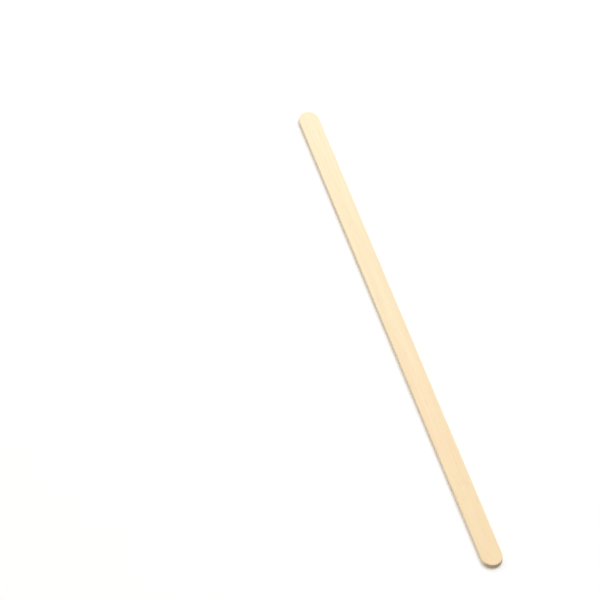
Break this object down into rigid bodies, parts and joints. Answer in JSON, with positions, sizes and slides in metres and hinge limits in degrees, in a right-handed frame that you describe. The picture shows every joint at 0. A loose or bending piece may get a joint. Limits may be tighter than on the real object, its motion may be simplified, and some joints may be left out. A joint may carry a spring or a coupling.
{
  "type": "coffee stirrer",
  "caption": "Flat straight wooden stick with rounded ends and eased edges, for stirring a hot drink in a cup.",
  "frame": {"origin": "middle of the lower face, with the stick lying flat", "axes": "+X along the stick, +Y across its width, +Z out of its upper face"},
  "size_m": [0.178, 0.006, 0.0015],
  "materials": {
    "birch": "smooth, tumbled, uncoated"
  },
  "bodies": {
    "root": {"stirrer": "birch"}
  },
  "joints": []
}
